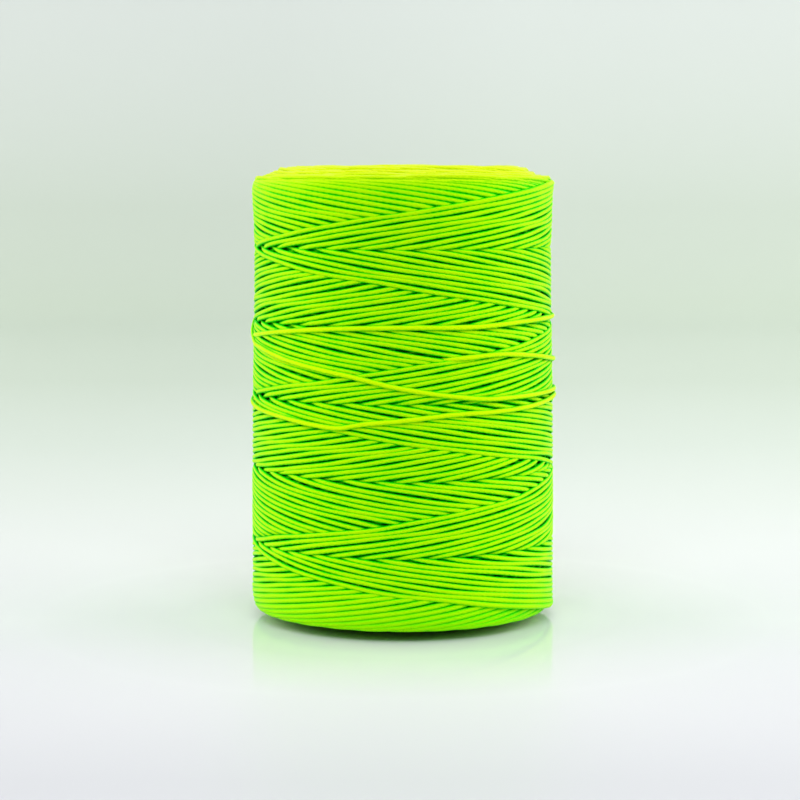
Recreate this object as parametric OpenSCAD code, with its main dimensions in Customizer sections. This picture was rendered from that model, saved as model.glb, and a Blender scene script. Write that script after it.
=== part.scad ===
// A fishing line spool: one line cross-wound into a straight package without
// flanges, on a recessed paperboard tube.
// Millimetres, +Z up along the tube's axis.
// The origin is on that axis, at the level of the bottom face's crest.
// Angles round the axis start at -Y, the front, and grow towards +X.

/* [Package] */
// Diameter over the crossed turns of line
package_d = 57; // [52:0.5:64]
// Height from the bottom crest to the top crest
package_h = 85.4; // [74:0.1:100]
// Width of the rounded top shoulder, measured inwards
top_shoulder_w = 7; // [4:0.5:8]
// Height of the rounded top shoulder
top_shoulder_h = 3.4; // [2:0.2:5]
// Width of the rounded bottom shoulder, measured inwards
bottom_shoulder_w = 5; // [3:0.5:7]
// Height of the bottom shoulder, which the winding keeps lower than the top one
bottom_shoulder_h = 2.4; // [1.6:0.1:4]
// Width of the flat ring that the package stands on, inside the bottom shoulder
foot_ring_w = 2.5; // [1.5:0.25:4]
// Depth of each face at the tube, below its crest
face_dish = 1.5; // [0.5:0.25:3]

/* [Core tube] */
// Bore of the tube, which goes on a stranger's spindle
core_bore_d = 20; // [16:0.5:22]
// Wall of the board plies, laid on top of each other
board_t = 2.2; // [1.5:0.1:2.6]
// Thickness of the smooth paper wrapped round the board
wrap_t = 0.3; // [0.2:0.05:0.5]

/* [Line] */
// Diameter of the braided line
line_d = 1; // [0.7:0.05:1.1]
// Clear space between two turns where one crosses the other
crossing_gap = 0.45; // [0.42:0.01:0.6]
// Double strokes of the traverse that the outer cover shows
double_strokes = 3; // [2:1:3]
// Whole turns of the package in one double stroke, less one part in the strokes
turns_per_double_stroke = 6; // [4:1:6]

/* [Hidden] */
$fn = 96;

board_color = [0.72, 0.58, 0.42];
wrap_color = [0.93, 0.9, 0.84];
line_color = [0.6, 0.92, 0.05];

// Core tube
board_outer_r = core_bore_d / 2 + board_t;
core_outer_r = board_outer_r + wrap_t;
core_length = package_h - 2 * face_dish;

// Radii of the line's middle, from the outside in
slack_r = package_d / 2 + line_d / 2 + crossing_gap;
down_stroke_r = package_d / 2 - line_d / 2;
up_stroke_r = down_stroke_r - line_d - crossing_gap;

// A turn is swept with straight steps, so it needs this room above the bulk
rings_per_turn = 24;
step_angle = 360 / rings_per_turn;
seat_gap = 0.06;
step_sag = up_stroke_r * (1 - cos(step_angle / 2));
bulk_r = up_stroke_r - line_d / 2 - step_sag - seat_gap;
foot_ring_r = bulk_r - bottom_shoulder_w - foot_ring_w;
arc_steps = 8;

// Traverse: the line turns back inside this band of the outer cover
stroke_top = package_h - top_shoulder_h;
stroke_bottom = bottom_shoulder_h;
cycle_turns = turns_per_double_stroke - 1 / double_strokes;
// Turns on each side of a turning point over which the line curves back
bend_turns = 0.12;
lead = 2 * (stroke_top - stroke_bottom) / (cycle_turns - 2 * bend_turns);
end_clearance_turns = 0.25;

// Loose turns lie where they fell: [angle, height above the package's middle]
slack_route = [
    [30, 8.6], [60, 8.2], [90, 6.6], [150, 6.8], [195, 8.2],
    [240, 10.4], [270, 11.7], [315, 13.3], [360, 14.1], [405, 14.4],
    [450, 14.8], [480, 14.7]
];
last_route = [
    [-120, 8.4], [-90, 10.2], [-45, 7.2], [0, 3.1], [45, 1],
    [90, 1.2], [180, 0], [270, -1.2], [330, -3.8], [345, -3.3],
    [360, -2.6], [420, -1.1], [450, -0.7], [495, -1.7], [525, -2.6]
];

// Points of a quarter of an ellipse in the outline's plane
function quarter(cr, cz, w, h, from, to) = [
    for (i = [0:arc_steps])
        let (a = from + (to - from) * i / arc_steps)
        [cr + w * cos(a), cz + h * sin(a)]
];

// A point on the package from its radius, angle and height
function on_package(r, a, z) = [r * sin(a), -r * cos(a), z];

// Distance in turns from the nearest turning point of the traverse
function from_bend(t) =
    let (half = cycle_turns / 2, rest = t - floor(t / half) * half)
    min(rest, half - rest);

// Share of a stroke already run, 0 at the bottom and 1 at the top
function rising(t) =
    let (u = t / cycle_turns, w = u - floor(u))
    w < 0.5;

// The nearest turning point is the bottom one
function near_bottom(t) =
    let (u = t / cycle_turns, w = u - floor(u))
    w < 0.25 || w > 0.75;

// Height run since a turning point, with the curve there
function climb(d) = d < bend_turns ? lead * d * d / (2 * bend_turns) : lead * (d - bend_turns / 2);

function stroke_z(t) = near_bottom(t)
    ? stroke_bottom + climb(from_bend(t))
    : stroke_top - climb(from_bend(t));

// Up strokes lie under down strokes, and change over round each turning point
function stroke_radius(t) =
    let (
        d = min(from_bend(t) / bend_turns, 1),
        s = d * d * (3 - 2 * d) / 2,
        up_share = rising(t) ? 0.5 + s : 0.5 - s
    )
    down_stroke_r + (up_stroke_r - down_stroke_r) * up_share;

function outer_path() = [
    for (i = [0:round((double_strokes * cycle_turns - 2 * end_clearance_turns) * rings_per_turn)])
        let (t = end_clearance_turns + i / rings_per_turn)
        on_package(stroke_radius(t), 90 + 360 * t, stroke_z(t))
];

// Smooth value between two route points, with its neighbours' slopes
function blend(p0, p1, p2, p3, a) =
    let (
        s = (a - p1[0]) / (p2[0] - p1[0]),
        m1 = (p2[1] - p0[1]) / (p2[0] - p0[0]) * (p2[0] - p1[0]),
        m2 = (p3[1] - p1[1]) / (p3[0] - p1[0]) * (p2[0] - p1[0])
    )
    (2 * s * s * s - 3 * s * s + 1) * p1[1] + (s * s * s - 2 * s * s + s) * m1
        + (3 * s * s - 2 * s * s * s) * p2[1] + (s * s * s - s * s) * m2;

function route_z(route, a, i = 0) =
    a > route[i + 1][0] && i < len(route) - 2
        ? route_z(route, a, i + 1)
        : blend(
            route[max(i - 1, 0)],
            route[i],
            route[i + 1],
            route[min(i + 2, len(route) - 1)],
            a
        );

function route_path(route) = [
    for (a = [route[0][0]:step_angle:route[len(route) - 1][0]])
        on_package(slack_r, a, package_h / 2 + route_z(route, a))
];

// A path whose two ends run straight on for one line diameter
function with_straight_ends(path) =
    let (
        n = len(path),
        first = path[0] - path[1],
        last = path[n - 1] - path[n - 2]
    )
    concat(
        [path[0] + first * line_d / norm(first)],
        path,
        [path[n - 1] + last * line_d / norm(last)]
    );

function unit(v) = v / norm(v);

// Rings of six points, two sides of each facing the package's axis squarely
function ring(path, i) =
    let (
        n = len(path),
        along = unit(path[min(i + 1, n - 1)] - path[max(i - 1, 0)]),
        out = unit([path[i][0], path[i][1], 0]),
        across = unit(cross(along, out)),
        away = cross(across, along)
    )
    [for (k = [0:5]) path[i] + line_d / 2 * (cos(30 + 60 * k) * away + sin(30 + 60 * k) * across)];

// Least clear distance between points of one path that are half a turn apart
function least_gap(path) =
    min([
        for (i = [0:len(path) - 1], j = [i + rings_per_turn / 2:1:len(path) - 1])
            norm(path[i] - path[j])
    ]) - line_d;

module line_along(path) {
    n = len(path);
    points = [for (i = [0:n - 1]) each ring(path, i)];
    sides = [
        for (i = [0:n - 2], k = [0:5])
            let (a = 6 * i + k, b = 6 * i + (k + 1) % 6)
            each [[a, b, b + 6], [a, b + 6, a + 6]]
    ];
    start_cap = [for (k = [1:4]) [0, k + 1, k]];
    end_cap = [for (k = [1:4]) [6 * n - 6, 6 * n - 6 + k, 6 * n - 5 + k]];
    polyhedron(points, concat(sides, start_cap, end_cap));
}

// A plain tube between two radii, centred in the package's height
module sleeve(inner_r, outer_r) {
    translate([0, 0, face_dish])
        difference() {
            cylinder(h = core_length, r = outer_r);
            translate([0, 0, -1]) cylinder(h = core_length + 2, r = inner_r);
        }
}

// The board plies of the tube
module core_board() {
    color(board_color) sleeve(core_bore_d / 2, board_outer_r);
}

// The smooth paper that the line is wound on
module core_wrap() {
    color(wrap_color) sleeve(board_outer_r, core_outer_r);
}

// All the layers of line under the outer cover, as one plain body
module line_bulk() {
    color(line_color)
        rotate_extrude()
            polygon(concat(
                [[core_outer_r, face_dish], [foot_ring_r, 0]],
                quarter(bulk_r - bottom_shoulder_w, bottom_shoulder_h, bottom_shoulder_w,
                    bottom_shoulder_h, -90, 0),
                quarter(bulk_r - top_shoulder_w, package_h - top_shoulder_h, top_shoulder_w,
                    top_shoulder_h, 0, 90),
                [[core_outer_r, package_h - face_dish]]
            ));
}

// The outer cover: one run of line that crosses itself at every stroke
module outer_turns() {
    path = outer_path();
    echo(outer_turns_least_gap = least_gap(path));
    color(line_color) line_along(with_straight_ends(path));
}

// The turn before the last, lying loose on the cover
module slack_turn() {
    path = route_path(slack_route);
    echo(slack_turn_least_gap = least_gap(path));
    color(line_color) line_along(with_straight_ends(path));
}

// The last turns, which end in the line's free end at the back
module last_turns() {
    path = route_path(last_route);
    echo(last_turns_least_gap = least_gap(path));
    color(line_color) line_along(with_straight_ends(path));
}

core_board();
core_wrap();
line_bulk();
outer_turns();
slack_turn();
last_turns();
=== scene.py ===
import math

import bpy
import numpy as np
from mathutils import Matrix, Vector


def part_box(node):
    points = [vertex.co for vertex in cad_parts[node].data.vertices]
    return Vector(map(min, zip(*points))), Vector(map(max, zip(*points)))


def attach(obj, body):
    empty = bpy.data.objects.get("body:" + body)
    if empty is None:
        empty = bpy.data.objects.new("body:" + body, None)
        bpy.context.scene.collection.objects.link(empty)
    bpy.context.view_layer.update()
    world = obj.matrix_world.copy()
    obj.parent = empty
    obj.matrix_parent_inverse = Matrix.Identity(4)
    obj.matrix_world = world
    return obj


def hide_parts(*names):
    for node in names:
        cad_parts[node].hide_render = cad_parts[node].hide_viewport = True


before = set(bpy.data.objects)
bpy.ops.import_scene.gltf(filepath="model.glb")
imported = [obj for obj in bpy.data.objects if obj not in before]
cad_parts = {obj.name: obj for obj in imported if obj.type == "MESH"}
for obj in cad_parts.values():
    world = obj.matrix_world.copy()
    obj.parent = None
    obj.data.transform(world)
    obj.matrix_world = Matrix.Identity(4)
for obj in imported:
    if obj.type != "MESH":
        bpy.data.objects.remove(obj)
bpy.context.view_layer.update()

MM = 0.001


# ---------------------------------------------------------------------------
# Camera. It stands a little below the level of the package's top, close
# enough that the turns bow more and more towards the foot.

IMAGE_SIDE = 800
HORIZON_ROW = 198
FOCAL_LENGTH_PX = 2131
AXIS_COLUMN_OFFSET = 0.52 * MM
EYE_DISTANCE = 405 * MM
EYE_HEIGHT = 79.6 * MM

camera_data = bpy.data.cameras.new("camera")
camera_data.sensor_width = 36
camera_data.lens = FOCAL_LENGTH_PX / IMAGE_SIDE * camera_data.sensor_width
camera = bpy.data.objects.new("camera", camera_data)
bpy.context.collection.objects.link(camera)
camera.location = (-AXIS_COLUMN_OFFSET, -EYE_DISTANCE, EYE_HEIGHT)
look_down = math.atan((IMAGE_SIDE / 2 - HORIZON_ROW) / FOCAL_LENGTH_PX)
camera.rotation_euler = (math.pi / 2 - look_down, 0, 0)
bpy.context.scene.camera = camera
bpy.context.scene.view_settings.view_transform = "Standard"


# ---------------------------------------------------------------------------
# Stage: a sheet of smooth pale card that curves up behind the package, and
# soft studio light from above and from both sides.

STAGE_HALF_WIDTH = 1.6
STAGE_FRONT = -1.2
STAGE_BACK = 1.4
STAGE_TOP = 1.9
STAGE_BEND = 0.5
# How close a corner has to lie to an edge's place to count as on it
NEAR = 10 * MM


def deselect_all():
    bpy.ops.object.select_all(action="DESELECT")


def new_material(name):
    material = bpy.data.materials.new(name)
    material.use_nodes = True
    return material, material.node_tree.nodes, material.node_tree.links


deselect_all()
bpy.ops.mesh.primitive_plane_add(size=1)
stage = bpy.context.object
stage.name = "stage"
bpy.ops.object.mode_set(mode="EDIT")
bpy.ops.transform.resize(value=(2 * STAGE_HALF_WIDTH, STAGE_BACK - STAGE_FRONT, 1))
bpy.ops.transform.translate(value=(0, (STAGE_BACK + STAGE_FRONT) / 2, 0))
bpy.ops.mesh.select_all(action="DESELECT")
bpy.ops.object.mode_set(mode="OBJECT")
for edge in stage.data.edges:
    ends = [stage.data.vertices[i].co.y for i in edge.vertices]
    edge.select = min(ends) > STAGE_BACK - NEAR
bpy.ops.object.mode_set(mode="EDIT")
bpy.ops.mesh.select_mode(type="EDGE")
bpy.ops.mesh.extrude_region_move(TRANSFORM_OT_translate={"value": (0, 0, STAGE_TOP)})
bpy.ops.mesh.select_all(action="DESELECT")
bpy.ops.object.mode_set(mode="OBJECT")
for edge in stage.data.edges:
    ends = [stage.data.vertices[i].co for i in edge.vertices]
    edge.select = all(v.y > STAGE_BACK - NEAR and v.z < NEAR for v in ends)
bpy.ops.object.mode_set(mode="EDIT")
bpy.ops.mesh.bevel(offset=STAGE_BEND, segments=16, affect="EDGES")
bpy.ops.object.mode_set(mode="OBJECT")
bpy.ops.object.shade_smooth()


def calculator(nodes, links):
    """Math nodes in short: calc("ADD", a, b) takes numbers and sockets alike."""
    def calc(operation, *values):
        node = nodes.new("ShaderNodeMath")
        node.operation = operation
        for socket, value in zip(node.inputs, values):
            if isinstance(value, (int, float)):
                socket.default_value = value
            else:
                links.new(value, socket)
        return node.outputs[0]
    return calc


def object_axes(nodes, links):
    """A piece's own coordinates: the whole place, then its X, Y and Z."""
    place = nodes.new("ShaderNodeTexCoord").outputs["Object"]
    split = nodes.new("ShaderNodeSeparateXYZ")
    links.new(place, split.inputs[0])
    return place, *split.outputs


def ramp_node(nodes, links, value, stops):
    node = nodes.new("ShaderNodeValToRGB")
    while len(node.color_ramp.elements) < len(stops):
        node.color_ramp.elements.new(0.5)
    for element, (place, color) in zip(node.color_ramp.elements, stops):
        element.position = place
        element.color = (*color, 1)
    links.new(value, node.inputs[0])
    return node.outputs[0]


def mix_node(nodes, links, share, first, second):
    """A colour between two, which are sockets or plain colours."""
    node = nodes.new("ShaderNodeMix")
    node.data_type = "RGBA"
    links.new(share, node.inputs[0])
    for socket, color in ((node.inputs[6], first), (node.inputs[7], second)):
        if isinstance(color, tuple):
            socket.default_value = (*color, 1)
        else:
            links.new(color, socket)
    return node.outputs[2]


def noise_node(nodes, links, vector, scale, detail):
    node = nodes.new("ShaderNodeTexNoise")
    node.inputs["Scale"].default_value = scale
    node.inputs["Detail"].default_value = detail
    links.new(vector, node.inputs["Vector"])
    return node.outputs["Fac"]


def bump_node(nodes, links, height, distance, shader):
    node = nodes.new("ShaderNodeBump")
    node.inputs["Distance"].default_value = distance
    links.new(height, node.inputs["Height"])
    links.new(node.outputs[0], shader.inputs["Normal"])


def range_node(nodes, links, value, from_low, from_high, to_low, to_high):
    node = nodes.new("ShaderNodeMapRange")
    links.new(value, node.inputs["Value"])
    node.inputs["From Min"].default_value = from_low
    node.inputs["From Max"].default_value = from_high
    node.inputs["To Min"].default_value = to_low
    node.inputs["To Max"].default_value = to_high
    return node.outputs[0]


# The card's tone from front to back, by its share of the way from STAGE_NEAR to STAGE_BACK: painted light
# and shade, lighter and darker bands that stand in for how the light falls along the card
STAGE_NEAR = -0.2
CARD_PAINTED_LIGHT_STOPS = [
    (0.05, (0.54, 0.57, 0.64)), (0.1, (0.67, 0.7, 0.78)), (0.12, (0.71, 0.76, 0.81)),
    (0.15, (0.66, 0.71, 0.76)), (0.22, (0.61, 0.69, 0.69)), (0.3, (0.56, 0.66, 0.63)),
    (0.45, (0.52, 0.63, 0.57)), (0.75, (0.57, 0.69, 0.61)), (0.85, (0.59, 0.7, 0.65)),
    (0.95, (0.71, 0.8, 0.82)),
]
# Painted light: the card is painted a little paler towards the right
PAINTED_LIGHT_SLANT = 0.03
PAINTED_LIGHT_REACH = 100 * MM
# The card's gloss, which fades with the distance from the package's axis
GLOSS = 0.8
GLOSS_ROUGHNESS = 0.08
GLOSS_FULL_R = 42 * MM
GLOSS_END_R = 70 * MM
stage_material, nodes, links = new_material("pale card")
card = nodes["Principled BSDF"]
card.inputs["Roughness"].default_value = 0.5
card.inputs["Specular IOR Level"].default_value = 0.3
card.inputs["Coat Roughness"].default_value = GLOSS_ROUGHNESS
place, x, y, _ = object_axes(nodes, links)
# The card's base colour carries painted light and shade: its tone front to back, and a little paler to the
# right
share = range_node(nodes, links, y, STAGE_NEAR, STAGE_BACK, 0, 1)
slant = range_node(nodes, links, x, -PAINTED_LIGHT_REACH, PAINTED_LIGHT_REACH, 1 - PAINTED_LIGHT_SLANT, 1 + PAINTED_LIGHT_SLANT)
tone = nodes.new("ShaderNodeVectorMath")
tone.operation = "SCALE"
links.new(ramp_node(nodes, links, share, CARD_PAINTED_LIGHT_STOPS), tone.inputs[0])
links.new(slant, tone.inputs["Scale"])
links.new(tone.outputs[0], card.inputs["Base Color"])
distance = nodes.new("ShaderNodeVectorMath")
distance.operation = "LENGTH"
links.new(place, distance.inputs[0])
gloss = range_node(nodes, links, distance.outputs["Value"], GLOSS_FULL_R, GLOSS_END_R, GLOSS, 0)
links.new(gloss, card.inputs["Coat Weight"])
stage.data.materials.append(stage_material)

# The studio's own light by the direction it comes from: most from above, less from the
# sides, and next to none from low down at the front and the back
SKY_STOPS = [
    (0.0, (0.02, 0.02, 0.02)), (0.3, (0.1, 0.1, 0.1)), (0.55, (0.55, 0.55, 0.55)),
    (0.75, (0.92, 0.92, 0.92)), (1.0, (0.92, 0.92, 0.92)),
]
SIDE_SHARE = 0.3
SKY_STRENGTH = 0.75
# Past the card's edges a camera sees the card's pale tone, whichever way it looks
BEYOND_CARD = (0.93, 1, 0.95)
world = bpy.data.worlds.new("studio")
bpy.context.scene.world = world
world.use_nodes = True
nodes, links = world.node_tree.nodes, world.node_tree.links
calc = calculator(nodes, links)
split = nodes.new("ShaderNodeSeparateXYZ")
links.new(nodes.new("ShaderNodeTexCoord").outputs["Generated"], split.inputs[0])
x, _, z = split.outputs
sideways = calc("MULTIPLY", calc("MULTIPLY", x, x), SIDE_SHARE)
off_axis = calc("SQRT", calc("ADD", sideways, calc("MULTIPLY", z, z)))
to_camera = nodes.new("ShaderNodeLightPath").outputs["Is Camera Ray"]
sky = mix_node(nodes, links, to_camera, ramp_node(nodes, links, off_axis, SKY_STOPS), BEYOND_CARD)
links.new(sky, nodes["Background"].inputs["Color"])
nodes["Background"].inputs["Strength"].default_value = SKY_STRENGTH


LIGHT_AIM = (0, 0, 40 * MM)
WHITE = (1, 1, 1)
SIDE_COLOR = (1, 0.88, 0.74)


def soft_light(name, place, width, height, power, color):
    """A rectangular lamp that points at the middle of the package."""
    data = bpy.data.lights.new(name, "AREA")
    data.shape = "RECTANGLE"
    data.size = width
    data.size_y = height
    data.energy = power
    data.color = color
    light = bpy.data.objects.new(name, data)
    bpy.context.collection.objects.link(light)
    light.location = place
    x, y, z = [aim - start for aim, start in zip(LIGHT_AIM, place)]
    light.rotation_euler = (math.atan2(math.hypot(x, y), -z), 0, math.atan2(-x, y))


soft_light("above the front", (0, -0.9, 1.05), width=1.0, height=0.6, power=8.5, color=WHITE)
soft_light("left side", (-1.1, 0.15, 0.6), width=1.5, height=0.6, power=11.9, color=SIDE_COLOR)
soft_light("right side", (1.1, 0.15, 0.6), width=1.5, height=0.6, power=12.8, color=SIDE_COLOR)


# ---------------------------------------------------------------------------
# Core tube: board plies glued in a spiral, cut square at both ends, with
# smooth pale paper wrapped round them. The line is wound straight on the paper.

PLY_STEP = 0.44 * MM
STRIP_WIDTH = 34 * MM
# The butt joint between two strips: its width as a share of a strip, and how dark it is
STRIP_JOINT = 0.006
JOINT_DARK = 0.25
PAPER_RELIEF = 0.08 * MM


def paper_material(name, stops, ply_depth, fibre_scale):
    """Fibrous paper: plies show as rings on a cut end, strips as a spiral on the wall."""
    material, nodes, links = new_material(name)
    shader = nodes["Principled BSDF"]
    shader.inputs["Roughness"].default_value = 0.85
    shader.inputs["Specular IOR Level"].default_value = 0.25
    calc = calculator(nodes, links)
    place, x, y, z = object_axes(nodes, links)
    radius = calc("SQRT", calc("ADD", calc("MULTIPLY", x, x), calc("MULTIPLY", y, y)))
    ply = calc("MULTIPLY", calc("PINGPONG", radius, PLY_STEP / 2), ply_depth * 2 / PLY_STEP)
    turn = calc("DIVIDE", calc("ARCTAN2", y, x), 2 * math.pi)
    spiral = calc("ADD", calc("DIVIDE", z, STRIP_WIDTH), turn)
    joint = calc("LESS_THAN", calc("PINGPONG", spiral, 0.5), STRIP_JOINT)
    fibres = noise_node(nodes, links, place, fibre_scale, detail=8)
    tone = calc("SUBTRACT", calc("ADD", fibres, ply), calc("MULTIPLY", joint, JOINT_DARK))
    links.new(ramp_node(nodes, links, tone, stops), shader.inputs["Base Color"])
    bump_node(nodes, links, tone, PAPER_RELIEF, shader)
    return material


def dress(node_name, material):
    """Gives a CAD node one material."""
    piece = bpy.data.objects[node_name]
    piece.data.materials.clear()
    piece.data.materials.append(material)


BOARD_STOPS = [(0.3, (0.2, 0.13, 0.075)), (0.75, (0.42, 0.31, 0.2))]
WRAP_STOPS = [(0.25, (0.58, 0.54, 0.46)), (0.7, (0.76, 0.73, 0.66))]
dress("core_board", paper_material("board plies", BOARD_STOPS, ply_depth=0.3, fibre_scale=900))
dress("core_wrap", paper_material("paper wrap", WRAP_STOPS, ply_depth=0.0, fibre_scale=600))


# ---------------------------------------------------------------------------
# Wound layers: everything under the outer cover. The line is laid so close
# that the inner layers make one firm body, dished a little at both faces.

# The braid flattens a little where it is wound tight: half its width and half its thickness
LINE_WIDE = 0.495 * MM
LINE_R = 0.425 * MM
# Near the faces the turns crowd and are pressed wider
CROWDED_WIDE = 0.6 * MM
CROWDED_HEIGHT = 9 * MM
PACKAGE_R = 28.5 * MM
PACKAGE_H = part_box("line_bulk")[1].z
BOTTOM_TAPER_W = 10 * MM
BOTTOM_TAPER_H = 2.1 * MM
FOOT_RING_W = 2.5 * MM
FACE_DISH = 1.5 * MM
# How far an under-stroke lies below an over-stroke, and how deep it sits in the layers below
CROSSING_STEP = 0.9 * MM
COVER_SEAT = 0.2 * MM
CORE_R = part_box("core_wrap")[1].x
BULK_INSET = 2 * LINE_R + CROSSING_STEP - COVER_SEAT
BULK_R = PACKAGE_R - BULK_INSET
BULK_SIDES = 128
FACE_STEPS = 12
FACE_INSET = 1.1 * MM

# Height of the top face from its crest out to the rim, below the package's height
RIM = [(21.5, 0), (23, 0.2), (24.5, 0.9), (26, 1.5), (27.5, 1.8), (28.5, 2.6)]
RIM_R = np.array([r for r, drop in RIM]) * MM
RIM_DROP = np.array([drop for r, drop in RIM]) * MM

# Radius of the cover up the package: a little waist above the middle, and a
# firm rim where the line turns back.
GIRTH = [
    (0, 28.5), (4, 28.85), (21, 28.8), (42, 28.62), (53, 28.35), (62, 28.2), (71, 28.12), (78, 28.33),
    (81.5, 28.47), (83, 28.45), (85, 28.2),
]
GIRTH_Z = np.array([z for z, r in GIRTH]) * MM
GIRTH_R = np.array([r for z, r in GIRTH]) * MM


def cover_radius(z):
    """Radius of the line's middle in the upper layer of the cover, at height z."""
    return np.interp(z, GIRTH_Z, GIRTH_R) - LINE_R


def dished(depth, r, ring_r):
    """Depth of a face's dish, from its highest ring in to the tube."""
    return depth * np.clip((ring_r - r) / (ring_r - CORE_R), 0, 1) ** 1.5


def top_face_z(r):
    """Height of the top face's surface at radius r."""
    return PACKAGE_H - np.interp(r, RIM_R, RIM_DROP) - dished(FACE_DISH, r, RIM_R[0] - FOOT_RING_W)


def bottom_face_z(r):
    """Height of the bottom face's surface at radius r."""
    ring_r = PACKAGE_R - BOTTOM_TAPER_W
    taper = BOTTOM_TAPER_H * np.clip((r - ring_r) / BOTTOM_TAPER_W, 0, 1)
    return taper + dished(FACE_DISH, r, ring_r - FOOT_RING_W)


def select_ring_face(mesh, top):
    """Selects the flat face at the middle of the top or of the bottom."""
    ends = [f for f in mesh.polygons if abs(f.normal.z) > 0.9]
    chosen = max(ends, key=lambda f: f.center.z if top else -f.center.z)
    for face in mesh.polygons:
        face.select = face == chosen


def inset_steps(mesh, top, outer_r, face_z, radii):
    """Insets an end face in steps, each raised or lowered on to the face's outline."""
    r, z = outer_r, face_z(outer_r)
    select_ring_face(mesh, top)
    bpy.ops.object.mode_set(mode="EDIT")
    bpy.ops.mesh.select_mode(type="FACE")
    for next_r in radii:
        next_z = face_z(next_r)
        bpy.ops.mesh.inset(thickness=r - next_r, depth=0)
        bpy.ops.transform.translate(value=(0, 0, next_z - z))
        r, z = next_r, next_z
    bpy.ops.object.mode_set(mode="OBJECT")


def face_r(r):
    """Radius on the package's own face that a radius of the wound layers stands for."""
    return r + BULK_INSET * (r - CORE_R) / (BULK_R - CORE_R)


def bulk_top(r):
    """Height of the wound layers' top at radius r."""
    return float(top_face_z(face_r(r))) - FACE_INSET


def bulk_foot(r):
    """Height of the wound layers' foot at radius r."""
    return float(bottom_face_z(face_r(r))) + FACE_INSET


foot_z, top_z = bulk_foot(BULK_R), bulk_top(BULK_R)
deselect_all()
bpy.ops.mesh.primitive_cylinder_add(vertices=BULK_SIDES, radius=BULK_R, depth=top_z - foot_z,
                                    location=(0, 0, (top_z + foot_z) / 2))
wound_layers = bpy.context.object
wound_layers.name = "wound_layers"
bpy.ops.object.transform_apply(location=True)
face_radii = [float(r) for r in np.linspace(BULK_R, CORE_R, FACE_STEPS + 1)[1:]]
inset_steps(wound_layers.data, True, BULK_R, bulk_top, face_radii)
inset_steps(wound_layers.data, False, BULK_R, bulk_foot, face_radii)
bpy.ops.object.mode_set(mode="EDIT")
bpy.ops.mesh.select_all(action="DESELECT")
bpy.ops.object.mode_set(mode="OBJECT")
for face in wound_layers.data.polygons:
    face.select = len(face.vertices) == BULK_SIDES
bpy.ops.object.mode_set(mode="EDIT")
bpy.ops.mesh.bridge_edge_loops()
bpy.ops.mesh.select_all(action="SELECT")
bpy.ops.mesh.normals_make_consistent(inside=False)
bpy.ops.object.mode_set(mode="OBJECT")
bpy.ops.object.shade_smooth_by_angle(angle=math.radians(40))
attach(wound_layers, "root")
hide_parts("line_bulk")

# The line's colour with painted shade, from the side that faces out, over its flanks, to the side that
# faces the axis: darker and greener away from the outer side, where the turns shade each other
LINE_STOPS = [
    (0.0, (0.47, 0.9, 0.001)), (0.15, (0.41, 0.89, 0.001)), (0.235, (0.2, 0.85, 0.001)),
    (0.3, (0.02, 0.76, 0.001)), (0.39, (0.001, 0.63, 0.001)), (0.52, (0.0005, 0.45, 0.0005)),
    (1.0, (0.0003, 0.3, 0.0003)),
]
# The same with painted light for the top face: paler and yellower where light from above falls on it, with
# a painted pale highlight on the side that faces out
TOP_LIT_LINE_STOPS = [
    (0.0, (0.66, 0.8, 0.22)), (0.1, (0.63, 0.8, 0.01)), (0.22, (0.59, 0.81, 0.001)),
    (0.42, (0.46, 0.83, 0.001)), (0.6, (0.18, 0.75, 0.001)), (0.8, (0.02, 0.5, 0.0005)),
    (1.0, (0.01, 0.42, 0.0005)),
]
# Heights over which the painted top light blends in
TOP_LIGHT_FROM_Z = 82 * MM
TOP_LIGHT_TO_Z = 84.3 * MM
# The inner layers lie in shade, from the ridges' flanks to their crests
LAYER_STOPS = [(0.3, (0.001, 0.17, 0.001)), (1.0, (0.02, 0.45, 0.002))]


def line_material(name, side_stops, face_stops, weave):
    """Braided line: a fluorescent body with painted shade, darker and greener on its flanks, and painted
    top light near the top face; it shines only at a glance.
    """
    material, nodes, links = new_material(name)
    shader = nodes["Principled BSDF"]
    shader.inputs["Roughness"].default_value = 0.4
    shader.inputs["IOR"].default_value = 1.1
    shader.inputs["Specular Tint"].default_value = (0.03, 0.03, 0.03, 1)
    shade, height, relief = weave(nodes, links)
    *_, z = object_axes(nodes, links)
    # Painted top light blends in by height towards the top face
    to_face = range_node(nodes, links, z, TOP_LIGHT_FROM_Z, TOP_LIGHT_TO_Z, 0, 1)
    side = ramp_node(nodes, links, shade, side_stops)
    face = ramp_node(nodes, links, shade, face_stops)
    links.new(mix_node(nodes, links, to_face, side, face), shader.inputs["Base Color"])
    bump_node(nodes, links, height, relief, shader)
    return material


# The traverse: the V lines of the herringbone stand half a lead apart.
LEAD = 27.46 * MM
STROKES_IN_COVER = 28
TURNS_PER_STROKE_PAIR = 6 - 1 / STROKES_IN_COVER
LAYER_RELIEF = 0.4 * MM


def layer_weave(nodes, links):
    """Crossing ridges of the layers underneath, wound up and down round the axis."""
    calc = calculator(nodes, links)
    _, x, y, z = object_axes(nodes, links)
    turn = calc("DIVIDE", calc("ARCTAN2", y, x), 2 * math.pi)
    rise = calc("MULTIPLY", turn, STROKES_IN_COVER)
    along = calc("DIVIDE", z, LEAD / STROKES_IN_COVER)
    up = calc("PINGPONG", calc("SUBTRACT", along, rise), 0.5)
    down = calc("PINGPONG", calc("ADD", along, rise), 0.5)
    height = calc("MULTIPLY", calc("MAXIMUM", up, down), 2)
    return height, height, LAYER_RELIEF


layer_line = line_material("line in the inner layers", LAYER_STOPS, LAYER_STOPS, layer_weave)
wound_layers.data.materials.append(layer_line)


# ---------------------------------------------------------------------------
# Outer cover: one continuous run of line, wound up and down 28 times before
# the pattern closes. Each stroke lies on those laid before it and under those
# laid after it, which gives the V lines and the slanting seams between them.

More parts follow.
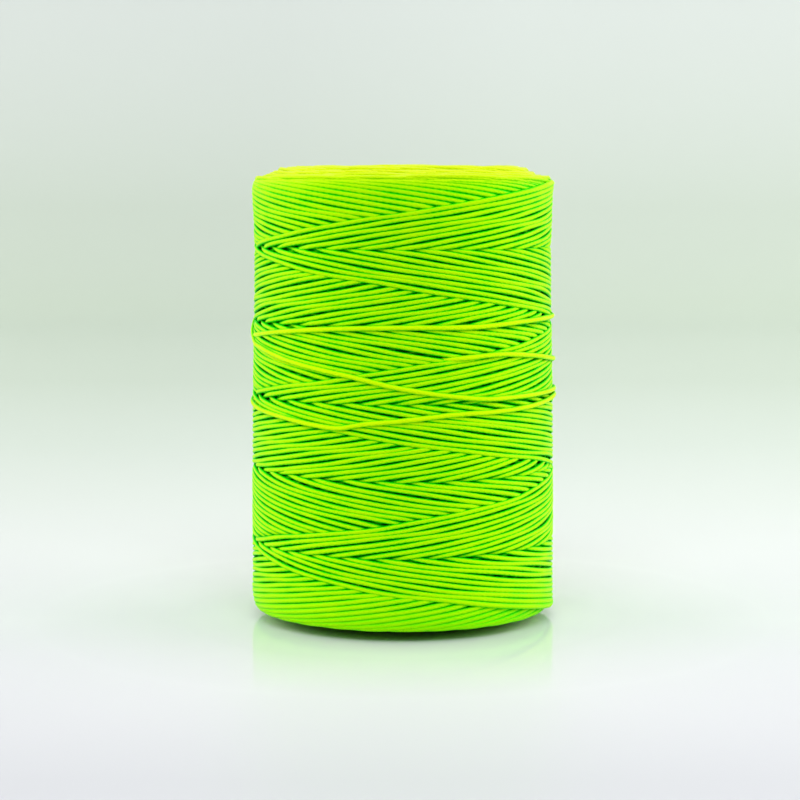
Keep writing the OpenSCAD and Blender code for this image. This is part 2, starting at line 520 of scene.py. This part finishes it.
FIRST_TURN_BACK = 1.75 * MM
TRAVERSE = 3 * LEAD
# Both ends of the cover run on for this part of a turn, and sink under their neighbours
RUN_ON = 0.15
END_SINK = 1.2 * MM
RINGS_PER_TURN = 140
LINE_SIDES = 8
# Half the length, in turns, over which the line turns back and changes layer
TOP_TURN_BACK_SPREAD = 0.18
FOOT_TURN_BACK_SPREAD = 0.08
LAYER_CHANGE_SPREAD = 0.013
# Where they turn back, the strokes lie over each other like a fan of cards
FAN_SPREAD = 0.11
FAN_DEPTH = 1.1 * MM
FAN_PROUD = 0.15 * MM
TOP_TILT = math.radians(50)
FOOT_TILT = math.radians(-25)
# Neighbours bunch and part together: waves per turn, waves per lead, start and strength
BUNCHING = [(1, 5.3, 0.1, 1), (2, -7.1, 0.6, 0.8), (3, 9.7, 0.3, 0.7)]
BUNCH_HEIGHT = 0.08 * MM
# Every stroke also strays a little by itself, up and down and in and out: least and most
# waves per turn, and height
STRAY_WAVES = 9
STRAY_UP = (1.3, 4.1, 0.075 * MM)
STRAY_OUT = (1.7, 5.3, 0.03 * MM)
# Next to the faces the turns lie steadier, down to this share
STEADY_FOOT = 4 * MM
STEADY_TOP = 5 * MM
STEADY_FADE = 4 * MM
STEADY_SHARE = 0.2
rng = np.random.default_rng(20)


def smoothed(values, half_width):
    """Moving average with a bell-shaped weight."""
    reach = max(int(round(half_width)), 1)
    weight = np.cos(np.linspace(-math.pi / 2, math.pi / 2, 2 * reach + 3))[1:-1] ** 2
    padded = np.concatenate([np.full(reach, values[0]), values, np.full(reach, values[-1])])
    return np.convolve(padded, weight / weight.sum(), mode="valid")


def frac(x):
    """Part of x past its whole number."""
    return x - np.floor(x)


def stray(turns, low, high, height):
    """Smooth seeded noise along the line, as a sum of waves."""
    total = np.zeros_like(turns)
    for _ in range(STRAY_WAVES):
        total += np.sin(2 * math.pi * (rng.uniform(low, high) * turns + rng.random()))
    return total * height / math.sqrt(STRAY_WAVES)


def line_mesh(name, runs, sides):
    """Sweeps an oval section along each run: UV in turns round it and millimetres along it.

    A run is its path, its depth, its tilt and its half width at each point. The UV's turns
    start at the side that faces out, which the tilt turns upwards.
    """
    points, uvs_along, lay, faces, face_u = [], [], [], [], []
    start = 0
    side_angles = 2 * math.pi * np.arange(sides) / sides
    for path, depth, tilt, wide in runs:
        n = len(path)
        along = np.gradient(path, axis=0)
        along /= np.linalg.norm(along, axis=1)[:, None]
        out = path * np.array([1, 1, 0])
        out /= np.linalg.norm(out, axis=1)[:, None]
        out = out * np.cos(tilt)[:, None] + np.array([0, 0, 1]) * np.sin(tilt)[:, None]
        out -= (out * along).sum(axis=1)[:, None] * along
        out /= np.linalg.norm(out, axis=1)[:, None]
        across = np.cross(along, out)
        ring = (path[:, None, :]
                + LINE_R * np.cos(side_angles)[None, :, None] * out[:, None, :]
                + wide[:, None, None] * np.sin(side_angles)[None, :, None] * across[:, None, :])
        points.append(ring.reshape(-1, 3))
        steps = np.linalg.norm(np.diff(path, axis=0), axis=1)
        length = np.concatenate([[0], np.cumsum(steps)]) / MM
        uvs_along.append(np.repeat(length, sides))
        lay.append(np.repeat(depth, sides))
        i = np.arange(n - 1)[:, None] * sides
        k = np.arange(sides)[None, :]
        k_next = (k + 1) % sides
        quad = np.stack([i + k, i + k_next, i + k_next + sides, i + k + sides], axis=-1)
        faces.append(quad.reshape(-1, 4) + start)
        u0 = np.broadcast_to(k / sides, (n - 1, sides))
        u = np.stack([u0, u0 + 1 / sides, u0 + 1 / sides, u0], axis=-1)
        face_u.append(u.reshape(-1, 4))
        start += n * sides
    points = np.concatenate(points)
    quads = np.concatenate(faces)
    uvs_along = np.concatenate(uvs_along)
    mesh = bpy.data.meshes.new(name)
    caps = []
    first = 0
    for path, *_ in runs:
        last = first + (len(path) - 1) * sides
        caps.append([first + s for s in reversed(range(sides))])
        caps.append([last + s for s in range(sides)])
        first = last + sides
    cap_loops = np.array(caps).reshape(-1)
    mesh.vertices.add(len(points))
    mesh.vertices.foreach_set("co", points.reshape(-1))
    mesh.loops.add(quads.size + cap_loops.size)
    mesh.loops.foreach_set("vertex_index", np.concatenate([quads.reshape(-1), cap_loops]))
    mesh.polygons.add(len(quads) + len(caps))
    starts = np.concatenate([np.arange(len(quads)) * 4, quads.size + np.arange(len(caps)) * sides])
    mesh.polygons.foreach_set("loop_start", starts)
    mesh.polygons.foreach_set("use_smooth", np.ones(len(starts), dtype=bool))
    uv = np.zeros((quads.size + cap_loops.size, 2))
    uv[:quads.size, 0] = np.concatenate(face_u).reshape(-1)
    uv[:quads.size, 1] = uvs_along[quads.reshape(-1)]
    mesh.uv_layers.new(name="UVMap").data.foreach_set("uv", uv.reshape(-1))
    mesh.attributes.new("depth", "FLOAT", "POINT").data.foreach_set("value", np.concatenate(lay))
    mesh.update(calc_edges=True)
    mesh.validate()
    piece = bpy.data.objects.new(name, mesh)
    bpy.context.collection.objects.link(piece)
    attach(piece, "root")
    return piece


def round_axis(radius, angle, z):
    """Points from radius, angle in turns and height; angle 0 is at +X, growing counter-clockwise."""
    return np.stack([radius * np.cos(2 * math.pi * angle), radius * np.sin(2 * math.pi * angle), z], axis=1)


def cover_path():
    """The line's middle through a whole cover, with each point's stroke pair, depth, tilt and width."""
    total = STROKES_IN_COVER * TURNS_PER_STROKE_PAIR + 2 * RUN_ON
    turns = np.arange(round(total * RINGS_PER_TURN)) / RINGS_PER_TURN - RUN_ON
    pair = turns / TURNS_PER_STROKE_PAIR
    k = np.floor(pair)
    share = frac(pair)
    rising = share < 0.5
    climb = np.where(rising, 2 * share, 2 - 2 * share) * TRAVERSE
    height = climb / LEAD
    # Which stroke of the other direction crosses here, and has it been laid already
    crossed_by_rising = STROKES_IN_COVER * frac(-(turns + height))
    crossed_by_falling = STROKES_IN_COVER * frac(-(turns - height) + 0.5 / STROKES_IN_COVER)
    on_top = np.where(rising, crossed_by_rising < k, crossed_by_falling < k + 1).astype(float)
    on_top[turns < 0] = 0
    fanned = smoothed(on_top, 2 * FAN_SPREAD * RINGS_PER_TURN)
    on_top = smoothed(on_top, LAYER_CHANGE_SPREAD * RINGS_PER_TURN)
    to_turn_back = np.minimum(np.minimum(share, 1 - share), np.abs(share - 0.5)) * TURNS_PER_STROKE_PAIR
    fan = np.clip(2 - to_turn_back / FAN_SPREAD, 0, 1)
    sunk = (1 - fan) * CROSSING_STEP * (1 - on_top) + fan * (FAN_DEPTH * (1 - fanned) - FAN_PROUD)
    near_tip = np.clip(1 - to_turn_back / FAN_SPREAD, 0, 1)
    tilt = np.where(climb > TRAVERSE / 2, TOP_TILT, FOOT_TILT) * near_tip
    z = np.where(climb > TRAVERSE / 2,
                 smoothed(FIRST_TURN_BACK + climb, TOP_TURN_BACK_SPREAD * RINGS_PER_TURN),
                 smoothed(FIRST_TURN_BACK + climb, FOOT_TURN_BACK_SPREAD * RINGS_PER_TURN))
    from_faces = np.minimum(z - STEADY_FOOT, PACKAGE_H - STEADY_TOP - z)
    freedom = np.clip(from_faces / STEADY_FADE, STEADY_SHARE, 1)
    bunch = sum(np.sin(2 * math.pi * (a * turns + b * z / LEAD + c)) * strength
                for a, b, c, strength in BUNCHING)
    z = z + freedom * BUNCH_HEIGHT * bunch + freedom * stray(turns, *STRAY_UP)
    radius = cover_radius(z) - sunk + stray(turns, *STRAY_OUT)
    ends = np.clip(np.minimum(turns + RUN_ON, turns[-1] - turns) / RUN_ON, 0, 1)
    radius -= END_SINK * (1 - ends) ** 2
    crowding = np.clip(1 - np.minimum(z, PACKAGE_H - z) / CROWDED_HEIGHT, 0, 1) ** 0.5
    wide = LINE_WIDE + (CROWDED_WIDE - LINE_WIDE) * crowding
    return round_axis(radius, turns, z), k, np.clip(sunk / CROSSING_STEP, 0, 1), tilt, wide


path, stroke_pair, depth, tilt, wide = cover_path()
COVER_PIECES = 4
pairs_per_piece = STROKES_IN_COVER / COVER_PIECES
cover = []
for part in range(COVER_PIECES):
    inside = (stroke_pair >= part * pairs_per_piece) & (stroke_pair < (part + 1) * pairs_per_piece)
    if part == 0:
        inside |= stroke_pair < 0
    if part == COVER_PIECES - 1:
        inside |= stroke_pair >= STROKES_IN_COVER
    members = np.flatnonzero(inside)
    reach = slice(members[0], members[-1] + 2)
    run = (path[reach], depth[reach], tilt[reach], wide[reach])
    cover.append(line_mesh(f"cover_run_{part + 1}", [run], LINE_SIDES))
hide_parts("outer_turns")


# At the foot and at the rim the turns are pressed together, and less painted shade is put on their flanks:
# heights between which this sets in, how far it goes, and the even painted shade
FOOT_PRESSED = (13 * MM, 3 * MM, 0.7, 0.2)
RIM_PRESSED = (80.5 * MM, 83.5 * MM, 0.75, 0.09)
# The plait: strands round the line, strands per millimetre along it, and their relief
STRANDS_ROUND = 4
STRANDS_ALONG = 0.8
BRAID_RELIEF = 0.05 * MM
# What darkens the line besides the painted shade on its flanks: painted shade where it lies deep under
# other turns, patches of tone that differs at random, and painted shade in the grooves of the plait
DEEP_PAINTED_SHADE = 0.22
PATCH_DARK = 0.22
PATCH_SCALE = 220
GROOVE_PAINTED_SHADE = 0.05


def evened(nodes, links, shade, height, pressed):
    """A painted shade drawn towards an even one near an end of the package."""
    from_z, to_z, share, even = pressed
    calc = calculator(nodes, links)
    near_end = range_node(nodes, links, height, from_z, to_z, 0, share)
    return calc("ADD", shade, calc("MULTIPLY", calc("SUBTRACT", even, shade), near_end))


def braid_weave(nodes, links):
    """Strands plaited round the line, from its UV map, and a painted shade from how far a point faces away
    or lies deep.
    """
    calc = calculator(nodes, links)
    uv = nodes.new("ShaderNodeUVMap")
    uv.uv_map = "UVMap"
    split = nodes.new("ShaderNodeSeparateXYZ")
    links.new(uv.outputs[0], split.inputs[0])
    around, along, _ = split.outputs
    away = calc("MULTIPLY", calc("PINGPONG", around, 0.5), 2)
    strands_round = calc("MULTIPLY", around, STRANDS_ROUND)
    strands_along = calc("MULTIPLY", along, STRANDS_ALONG)
    left = calc("PINGPONG", calc("ADD", strands_round, strands_along), 0.5)
    right = calc("PINGPONG", calc("SUBTRACT", strands_round, strands_along), 0.5)
    height = calc("MULTIPLY", calc("MAXIMUM", left, right), 2)
    place, *_, z = object_axes(nodes, links)
    patches = noise_node(nodes, links, place, PATCH_SCALE, detail=3)
    deep = nodes.new("ShaderNodeAttribute")
    deep.attribute_name = "depth"
    # Painted shade: darker where the line lies deep under other turns and in the grooves of the plait
    shade = calc("ADD", away, calc("MULTIPLY", deep.outputs["Fac"], DEEP_PAINTED_SHADE))
    shade = calc("ADD", shade, calc("MULTIPLY", calc("SUBTRACT", patches, 0.5), PATCH_DARK))
    shade = calc("ADD", shade, calc("MULTIPLY", calc("SUBTRACT", 1, height), GROOVE_PAINTED_SHADE))
    shade = evened(nodes, links, shade, z, FOOT_PRESSED)
    shade = evened(nodes, links, shade, z, RIM_PRESSED)
    return shade, height, BRAID_RELIEF


braid = line_material("braided line", LINE_STOPS, TOP_LIT_LINE_STOPS, braid_weave)
for piece in cover:
    piece.data.materials.append(braid)


# ---------------------------------------------------------------------------
# Turn-backs on the two faces: every layer inside the package turned back at
# the face too, 28 times round, and the short arcs lie one over the other.

FIRST_LAYER_IN = 1.0 * MM
LAYER_STEP = 1.5 * MM
ARC_REACH = 0.14
ARC_FALL = 115 * MM
ARC_SLANT = 7 * MM
RIM_PROUD = 0.3 * MM
ARC_TILT = math.radians(70)
# How far each arc strays: round the axis in shares of a stroke, in and out, and down
ARC_STRAY = 0.2
ARC_STRAY_OUT = 0.15 * MM
ARC_STRAY_DOWN = 0.4 * MM
ARC_RINGS = 12
ARC_SIDES = 6


def turn_back_arcs(face_z, up):
    """Arcs of line at the turning points of each layer, from the cover inwards."""
    arcs = []
    reach = np.linspace(-ARC_REACH, ARC_REACH, ARC_RINGS)
    depth, wide = np.zeros(ARC_RINGS), np.full(ARC_RINGS, LINE_WIDE)
    tilt = np.full(ARC_RINGS, ARC_TILT if up else -ARC_TILT)
    layer_r = PACKAGE_R - FIRST_LAYER_IN
    while layer_r > CORE_R + 2 * LINE_R:
        first_angle = rng.random()
        for tip in range(STROKES_IN_COVER):
            angle = first_angle - (tip + rng.uniform(-ARC_STRAY, ARC_STRAY)) / STROKES_IN_COVER
            radius = layer_r + ARC_SLANT * reach + rng.uniform(-ARC_STRAY_OUT, ARC_STRAY_OUT)
            radius = np.clip(radius, CORE_R + LINE_WIDE, PACKAGE_R - FIRST_LAYER_IN)
            fall = ARC_FALL * reach ** 2 + rng.uniform(0, ARC_STRAY_DOWN)
            surface = face_z(layer_r)
            z = surface + RIM_PROUD - LINE_R - fall if up else surface + LINE_R + fall
            arcs.append((round_axis(radius, angle + reach, z), depth, tilt, wide))
        layer_r -= LAYER_STEP
    return arcs


for name, face_z, up in [("top_turn_backs", top_face_z, True),
                         ("bottom_turn_backs", bottom_face_z, False)]:
    piece = line_mesh(name, turn_back_arcs(face_z, up), ARC_SIDES)
    piece.data.materials.append(braid)
    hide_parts("line_bulk")


# ---------------------------------------------------------------------------
# Loose turns: the last of the line lies slack across the cover at mid height.
# It comes out from under the crossed turns, sags where nothing holds it, and
# its free end is tucked under a turn at the back.

TUCK_LENGTH = 14
TUCK_DEPTH = 1.1 * MM
# Half the width of a loose turn, which spreads a little more than a tight one
LOOSE_WIDE = 1.2 * LINE_R
ROUTE_STEP = 2.5

# [angle from the front in degrees, height in mm, lift off the cover in mm]
SLACK_ROUTE = [
    (10, 50.7, 0.4), (23, 51.2, 0.5), (37, 51.6, 0.5), (55, 51.0, 0.5), (82, 49.5, 0.6),
    (120, 49.0, 0.5), (150, 49.3, 0.5), (195, 50.7, 0.5), (240, 52.7, 0.4), (266, 53.7, 0.1),
    (280, 54.0, 0.1), (305, 55.2, 0.4), (333, 56.3, 0.4), (359, 56.7, 0.4), (389, 56.7, 0.4),
    (408, 57.2, 0.4), (435, 57.5, 0.5), (470, 57.4, 0.5), (505, 57.6, 0.5),
]
LAST_ROUTE = [
    (-132, 58.4, 0.5), (-114, 58.9, 0.4), (-102, 58.1, 0.35), (-95, 56.4, 0.5), (-89, 54.6, 0.6),
    (-82, 53.1, 0.35), (-65, 51.9, 0.5), (-49, 50.4, 0.4), (-32, 49.0, 0.4), (-20, 48.0, 0.4),
    (-1, 45.9, 0.4), (18, 44.4, 0.4), (32, 43.7, 0.5), (48, 43.7, 0.5), (79, 43.8, 0.6),
    (120, 43.3, 0.6), (180, 42.5, 0.5), (240, 42.0, 0.5), (270, 41.5, 0.35), (295, 40.5, 0.5),
    (311, 39.8, 0.4), (327, 38.9, 0.4), (336, 38.6, 0.4), (345, 39.4, 0.4), (359, 40.1, 0.4),
    (378, 41.1, 0.4), (397, 41.3, 0.4), (415, 41.7, 0.5), (445, 42.6, 0.6), (475, 41.7, 0.5),
    (505, 40.5, 0.5), (530, 39.7, 0.4),
]


def loose_path(route):
    """A smooth path through a route's points, sunk under the cover at both ends."""
    knots = np.array([a for a, z, lift in route], dtype=float)
    heights = np.array([z for a, z, lift in route])
    angles = np.arange(knots[0], knots[-1], ROUTE_STEP)
    slopes = np.gradient(heights, knots)
    i = np.clip(np.searchsorted(knots, angles, side="right") - 1, 0, len(knots) - 2)
    width = knots[i + 1] - knots[i]
    s = (angles - knots[i]) / width
    z = ((2 * s ** 3 - 3 * s ** 2 + 1) * heights[i] + (s ** 3 - 2 * s ** 2 + s) * slopes[i] * width
         + (3 * s ** 2 - 2 * s ** 3) * heights[i + 1] + (s ** 3 - s ** 2) * slopes[i + 1] * width) * MM
    sunk = np.clip(1 - np.minimum(angles - knots[0], knots[-1] - angles) / TUCK_LENGTH, 0, 1)
    lift = np.interp(angles, knots, [lift for a, z, lift in route]) * MM
    radius = cover_radius(z) + lift - (lift + TUCK_DEPTH) * sunk ** 1.5
    return round_axis(radius, (angles - 90) / 360, z)


# The loose turns' colour: painted shade on their flanks as on the cover, and lighter and yellower all over
# as painted light where they stand proud of the cover
LOOSE_LIT_LINE_STOPS = [
    (0.0, (0.62, 0.97, 0.002)), (0.16, (0.57, 0.96, 0.001)), (0.28, (0.36, 0.92, 0.001)),
    (0.4, (0.1, 0.7, 0.001)), (0.6, (0.004, 0.5, 0.001)), (1.0, (0.001, 0.3, 0.001)),
]
loose_braid = line_material("braided line, loose", LOOSE_LIT_LINE_STOPS, LOOSE_LIT_LINE_STOPS, braid_weave)
for name, route, node in [("slack_turn_line", SLACK_ROUTE, "slack_turn"),
                          ("last_turns_line", LAST_ROUTE, "last_turns")]:
    path = loose_path(route)
    flat = np.zeros(len(path))
    piece = line_mesh(name, [(path, flat, flat, flat + LOOSE_WIDE)], LINE_SIDES)
    piece.data.materials.append(loose_braid)
    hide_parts(node)
